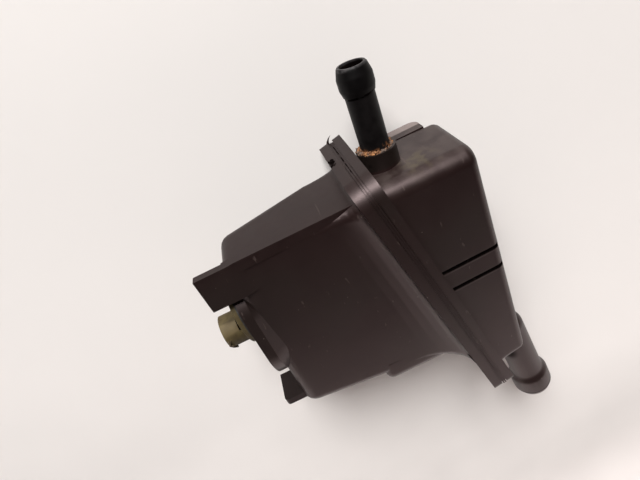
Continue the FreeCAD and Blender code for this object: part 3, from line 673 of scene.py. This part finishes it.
class WeldLook(bpy.types.PropertyGroup):
    """Squeezed-out weld material."""
    flash_radius: FloatProperty(name="Flash radius", description="Thickness of the flash line",
                                subtype="DISTANCE", min=0.0001, max=0.001, default=0.00032)
    flash_step: FloatProperty(name="Flash step", description="Length of one wave of the flash",
                              subtype="DISTANCE", min=0.0005, max=0.01, default=0.0015)
    whisker_length: FloatProperty(name="Whisker", description="Length of the torn whisker of flash",
                                  subtype="DISTANCE", min=0.0, max=0.01, default=0.0034)


class PortLook(bpy.types.PropertyGroup):
    """Return nipple and the dirt in its socket."""
    nipple_color: color_setting("Nipple", "Colour of the nipple", (0.0034, 0.0028, 0.0029))
    rust_color: color_setting("Dirt", "Colour of the rusty dirt", (0.13, 0.055, 0.023))
    grain: FloatProperty(name="Grain", description="Size of a dirt grain", subtype="DISTANCE",
                         min=0.0001, max=0.001, default=0.00036)
    density: FloatProperty(name="Density", description="Dirt grains on each square metre", min=0.0,
                           max=9000000.0, default=6500000.0)


class SensorLook(bpy.types.PropertyGroup):
    """Colours of the level sensor."""
    nylon_color: color_setting("Nylon", "Lighter tone of the head", (0.066, 0.050, 0.020))
    nylon_dark: color_setting("Nylon dark", "Darker tone of the head", (0.040, 0.028, 0.0115))
    flake: FloatProperty(name="Flake", description="Size of a greasy flake on the shroud's rim",
                         subtype="DISTANCE", min=0.0001, max=0.001, default=0.00042)
    flake_density: FloatProperty(name="Flake density", description="Flakes on each square metre",
                                 min=0.0, max=9000000.0, default=5000000.0)


class StageLook(bpy.types.PropertyGroup):
    """Backdrop and lights."""
    floor_color: color_setting("Floor", "Colour of floor and backdrop", (0.76, 0.735, 0.715))
    sun: FloatProperty(name="Sun", description="Strength of the broad light from the front and above",
                       min=0.0, max=10.0, default=4.6)
    top_power: FloatProperty(name="Top light", description="Power of the small top light, in watts",
                             min=0.0, max=50.0, default=1.6)
    rear_power: FloatProperty(name="Rear light", description="Power of the light behind, in watts",
                              min=0.0, max=100.0, default=18.0)
    world: FloatProperty(name="World", description="Brightness of the surroundings", min=0.0, max=3.0,
                         default=0.06)


# Operators ------------------------------------------------------------------------------------
class RESERVOIR_OT_shells(bpy.types.Operator):
    """Finish the body, the cover and the plate inside"""
    bl_idname = "reservoir.shells"
    bl_label = "Shells"

    def execute(self, context):
        material = shell_plastic(context.scene.shell_look)
        for node in ("body_shell", "cover_shell"):
            dress(node, material)
            smooth_facets(node)
        dress("flow_baffle", plain_nylon("baffle_nylon", (0.024, 0.016, 0.014), (0.04, 0.03, 0.026)))
        return {"FINISHED"}


class RESERVOIR_OT_weld(bpy.types.Operator):
    """Finish the weld bead and add the flash along it, with its torn whisker"""
    bl_idname = "reservoir.weld"
    bl_label = "Weld"

    def execute(self, context):
        look = context.scene.weld_look
        material = shell_plastic(context.scene.shell_look, "weld_plastic", 1.2)
        dress("weld_bead", material)
        guide = loop_curve("seam_guide", seam_points(outset=-0.0008))
        mesh = flash_tree(material).apply(guide, "weld_flash", {"Step": look.flash_step,
                                                                "Radius": look.flash_radius})
        new_piece("weld_flash", mesh, material)
        new_piece("flash_whisker", whisker_mesh(look.whisker_length), material)
        return {"FINISHED"}


def whisker_mesh(length):
    """Thin curled thread of plastic at the far top corner of the flange."""
    root = on_seam(FLANGE_FAR_Y - 0.0022, FLANGE_TOP / cos(FLANGE_TILT)) - Vector((0.0008, 0, 0.0013))
    shape = bmesh.new()
    rows, sides = 10, 8
    rings = []
    for row in range(rows + 1):
        share = row / rows
        centre = root + Vector((0.75 * share ** 2 - 0.15 * share, 0.1 * share, 0.9 * share)) * length
        r = 0.00062 * (1 - share) ** 0.8 + 0.00007
        rings.append([shape.verts.new(centre + Vector((r * cos(2 * pi * k / sides),
                                                       r * sin(2 * pi * k / sides), 0)))
                      for k in range(sides)])
    for low, high in zip(rings, rings[1:]):
        for k in range(sides):
            shape.faces.new((low[k], low[(k + 1) % sides], high[(k + 1) % sides], high[k]))
    shape.faces.new(list(reversed(rings[0])))
    shape.faces.new(rings[-1])
    mesh = bpy.data.meshes.new("flash_whisker")
    shape.to_mesh(mesh)
    shape.free()
    return mesh


def cup_floor_mesh():
    """Ring of caked dirt in the cup round the nipple, uneven and heaped on the flange's side."""
    shape = bmesh.new()
    steps, rows = 72, 6
    rings = []
    for row in range(rows + 1):
        share = row / rows
        line = []
        for step in range(steps):
            angle = 2 * pi * step / steps
            hump = 0.00035 * sin(pi * share) * (1 + 0.5 * sin(3 * angle + 1) + 0.3 * sin(7 * angle))
            spill = max(0.0, cos(angle - 3.5)) ** 2
            radius = CUP_INNER + (CUP_OUTER + 0.0007 * spill - CUP_INNER) * share
            height = CUP_FLOOR + 0.0012 + hump + 0.0009 * spill
            line.append(shape.verts.new((radius * cos(angle), radius * sin(angle), height)))
        rings.append(line)
    for low, high in zip(rings, rings[1:]):
        for k in range(steps):
            shape.faces.new((low[k], high[k], high[(k + 1) % steps], low[(k + 1) % steps]))
    mesh = bpy.data.meshes.new("cup_dirt")
    shape.to_mesh(mesh)
    shape.free()
    mesh.transform(Matrix.Translation(NIPPLE_BASE) @ Matrix.Rotation(NIPPLE_LEAN, 4, "Y"))
    return mesh


def rim_arc_mesh():
    """Narrow strip under the near lower rim of the connector's shroud, where greasy dirt flakes off."""
    shape = bmesh.new()
    rows = []
    for step in range(13):
        angle = pi + pi / 2 * step / 12
        y = SHROUD_CENTRE[1] + (SHROUD_RADIUS + 0.1 * MM) * cos(angle)
        z = SHROUD_CENTRE[2] + (SHROUD_RADIUS + 0.1 * MM) * sin(angle)
        rows.append([shape.verts.new((SHROUD_CENTRE[0] + x, y, z)) for x in (0.5 * MM, 1.6 * MM)])
    for low, high in zip(rows, rows[1:]):
        shape.faces.new((low[0], low[1], high[1], high[0]))
    mesh = bpy.data.meshes.new("rim_flakes")
    shape.to_mesh(mesh)
    shape.free()
    return mesh


class RESERVOIR_OT_return_port(bpy.types.Operator):
    """Finish the return nipple and its seal, and fill the socket's cup with dirt"""
    bl_idname = "reservoir.return_port"
    bl_label = "Return port"

    def execute(self, context):
        look = context.scene.port_look
        dress("return_nipple", nipple_plastic(look))
        smooth_facets("return_nipple")
        dress("nipple_seal", black_rubber())
        dirt = rust_dirt(look)
        floor = cup_floor_mesh()
        guide = bpy.data.objects.new("cup_guide", floor.copy())
        context.scene.collection.objects.link(guide)
        grains = grains_tree("cup_grains", dirt, 5).apply(guide, "cup_grains", {
            "Density": look.density, "Grain": look.grain})
        new_piece("cup_dirt", floor, dirt)
        new_piece("cup_grains", grains, dirt)
        return {"FINISHED"}


class RESERVOIR_OT_sensor(bpy.types.Operator):
    """Finish the level sensor's head, gasket, blades and reed, and add flakes of greasy dirt"""
    bl_idname = "reservoir.sensor"
    bl_label = "Level sensor"

    def execute(self, context):
        look = context.scene.sensor_look
        dress("sensor_head", sensor_nylon(look))
        smooth_facets("sensor_head")
        dress("sensor_gasket", black_rubber("gasket_rubber"))
        brass = metal("blade_brass", (0.62, 0.48, 0.24), (0.28, 0.19, 0.09))
        for node in ("terminal_near", "terminal_far"):
            dress(node, brass)
        wire = metal("lead_wire", (0.55, 0.53, 0.5), (0.3, 0.28, 0.25))
        for node in ("reed_lead_short", "reed_lead_long"):
            dress(node, wire)
        dress("reed_switch", reed_glass())
        guide = bpy.data.objects.new("rim_guide", rim_arc_mesh())
        context.scene.collection.objects.link(guide)
        grease = sensor_nylon(look, "rim_grease", 1.0)
        flakes = grains_tree("rim_flakes", grease, 11).apply(guide, "rim_flakes", {
            "Density": look.flake_density, "Grain": look.flake})
        new_piece("rim_flakes", flakes, grease)
        return {"FINISHED"}


class RESERVOIR_OT_float(bpy.types.Operator):
    """Finish the float, its arm, magnet and pin"""
    bl_idname = "reservoir.float"
    bl_label = "Float"

    def execute(self, context):
        dress("float_body", foam())
        dress("float_arm", plain_nylon("arm_acetal", (0.62, 0.60, 0.54), (0.5, 0.44, 0.34)))
        dress("float_magnet", metal("ferrite", (0.09, 0.09, 0.095), (0.05, 0.045, 0.04), 0.5))
        dress("float_pin", metal("pin_steel", (0.56, 0.56, 0.56), (0.36, 0.33, 0.30)))
        return {"FINISHED"}


class RESERVOIR_OT_strainer(bpy.types.Operator):
    """Finish the strainer's frame and mesh"""
    bl_idname = "reservoir.strainer"
    bl_label = "Strainer"

    def execute(self, context):
        nylon = plain_nylon("strainer_nylon", (0.45, 0.41, 0.32), (0.33, 0.24, 0.15))
        for node in ("strainer_frame", "strainer_mesh"):
            dress(node, nylon)
        return {"FINISHED"}


def floor_finish(color):
    """Pale matt floor and backdrop, a little pinker in front, with painted shade towards its bottom and
    its left, and clear when seen from behind.
    """
    f = Finish("stage_paper", Specular_IOR_Level=0.2)
    cloud = f.noise(6, 3)
    front = 1 - f.coordinate("Z").between(-0.36, -0.26)
    tone = f.mix(front, tuple(color), (color[0], color[1] * 0.88, color[2] * 0.89))
    z, x = f.coordinate("Z"), f.coordinate("X")
    # Painted shade: darker low on the backdrop, less so at the right, and a little darker at the left
    right = x.between(0.06, 0.15) * z.between(-0.26, -0.17)
    low = (1 - z.between(-0.19, 0.00)) * (0.42 - right * 0.38) * z.between(-0.395, -0.33)
    low = low + (1 - x.between(-0.10, 0.06)) * 0.06
    tone = f.mix(low, tone, (0.0, 0.0, 0.0))
    paper = f.mix(cloud, tone, tuple(min(1.0, c * 1.04) for c in color))
    f.feed(f.shader.inputs["Alpha"], 1 - Value(f.tree, f.geometry.outputs["Backfacing"]))
    return f.close(paper, 0.9 + cloud * 0.05)


def sweep_mesh(wall_y, drop=0.40, radius=0.12, front=-0.31, height=1.4, width=3.2):
    """Sheet that the part leans on: upright behind it, curving forward into a floor below."""
    profile = [(front, -drop)]
    for step in range(13):
        angle = pi / 2 * step / 12
        profile.append((wall_y - radius + radius * sin(angle), -drop + radius * (1 - cos(angle))))
    profile.append((wall_y, height))
    shape = bmesh.new()
    left = [shape.verts.new((-width / 2, y, z)) for y, z in profile]
    right = [shape.verts.new((width / 2, y, z)) for y, z in profile]
    for k in range(len(profile) - 1):
        shape.faces.new((left[k], right[k], right[k + 1], left[k + 1]))
    mesh = bpy.data.meshes.new("sweep")
    shape.to_mesh(mesh)
    shape.free()
    for face in mesh.polygons:
        face.use_smooth = True
    return mesh


def soft_light(name, place, aim, size, power, tint):
    """Square soft light that faces a point."""
    lamp = bpy.data.lights.new(name, "AREA")
    lamp.size, lamp.energy, lamp.color = size, power, tint
    light = bpy.data.objects.new(name, lamp)
    light.location = place
    light.rotation_euler = (Vector(aim) - Vector(place)).to_track_quat("-Z", "Y").to_euler()
    bpy.context.scene.collection.objects.link(light)


class RESERVOIR_OT_stage(bpy.types.Operator):
    """Set the backdrop, the lights and the photograph's camera"""
    bl_idname = "reservoir.stage"
    bl_label = "Stage"

    def execute(self, context):
        look, scene = context.scene.stage_look, context.scene
        behind = CAD_BOX[1][1] + 0.4 * MM
        sweep = bpy.data.objects.new("stage_sweep", sweep_mesh(behind))
        sweep.data.materials.append(floor_finish(look.floor_color))
        scene.collection.objects.link(sweep)
        world = bpy.data.worlds.new("stage_world")
        world.use_nodes = True
        world.node_tree.nodes["Background"].inputs[0].default_value = (1.0, 0.76, 0.74, 1)
        world.node_tree.nodes["Background"].inputs[1].default_value = look.world
        scene.world = world
        sun = bpy.data.lights.new("sun", "SUN")
        sun.energy, sun.angle, sun.color = look.sun, radians(26), (1.0, 0.985, 0.97)
        shine = bpy.data.objects.new("sun", sun)
        shine.rotation_euler = SUN_DIRECTION.to_track_quat("-Z", "Y").to_euler()
        scene.collection.objects.link(shine)
        soft_light("top", *TOP_LIGHT, look.top_power, (1.0, 0.99, 0.98))
        soft_light("rear", *REAR_LIGHT, look.rear_power, (1.0, 0.98, 0.97))
        camera = bpy.data.objects.new("camera", bpy.data.cameras.new("camera"))
        camera.data.sensor_width = 36.0
        camera.data.lens = 36.0 * FOCAL_PIXELS / PHOTO_WIDTH
        camera.data.clip_start = 0.005
        back = CAMERA_RIGHT.cross(CAMERA_UP).normalized()
        up = back.cross(CAMERA_RIGHT).normalized()
        right = up.cross(back)
        turn = Matrix((right, up, back)).transposed().to_4x4()
        camera.matrix_world = Matrix.Translation(CAMERA_PLACE) @ turn
        scene.collection.objects.link(camera)
        scene.camera = camera
        scene.view_settings.view_transform = "Standard"
        return {"FINISHED"}


OPERATORS = (RESERVOIR_OT_shells, RESERVOIR_OT_weld, RESERVOIR_OT_return_port, RESERVOIR_OT_sensor,
             RESERVOIR_OT_float, RESERVOIR_OT_strainer, RESERVOIR_OT_stage)
LOOKS = {"shell_look": ShellLook, "weld_look": WeldLook, "port_look": PortLook,
         "sensor_look": SensorLook, "stage_look": StageLook}


class RESERVOIR_PT_panel(bpy.types.Panel):
    """Lists the reservoir's pieces and their settings"""
    bl_idname = "RESERVOIR_PT_panel"
    bl_label = "Reservoir"
    bl_space_type = "VIEW_3D"
    bl_region_type = "UI"
    bl_category = "Reservoir"

    def draw(self, context):
        for operator in OPERATORS:
            self.layout.operator(operator.bl_idname)
        for name, look in LOOKS.items():
            box = self.layout.box()
            for setting in look.__annotations__:
                box.prop(getattr(context.scene, name), setting)


def register():
    """Registers the settings, the operators and the panel."""
    for name, look in LOOKS.items():
        bpy.utils.register_class(look)
        setattr(bpy.types.Scene, name, PointerProperty(type=look))
    for item in OPERATORS + (RESERVOIR_PT_panel,):
        bpy.utils.register_class(item)


def unregister():
    """Takes them away again."""
    for item in reversed(OPERATORS + (RESERVOIR_PT_panel,)):
        bpy.utils.unregister_class(item)
    for name, look in LOOKS.items():
        delattr(bpy.types.Scene, name)
        bpy.utils.unregister_class(look)


def main():
    """Runs every operator in order."""
    register()
    for operator in OPERATORS:
        group, name = operator.bl_idname.split(".")
        getattr(getattr(bpy.ops, group), name)()


if __name__ == "__main__":
    main()
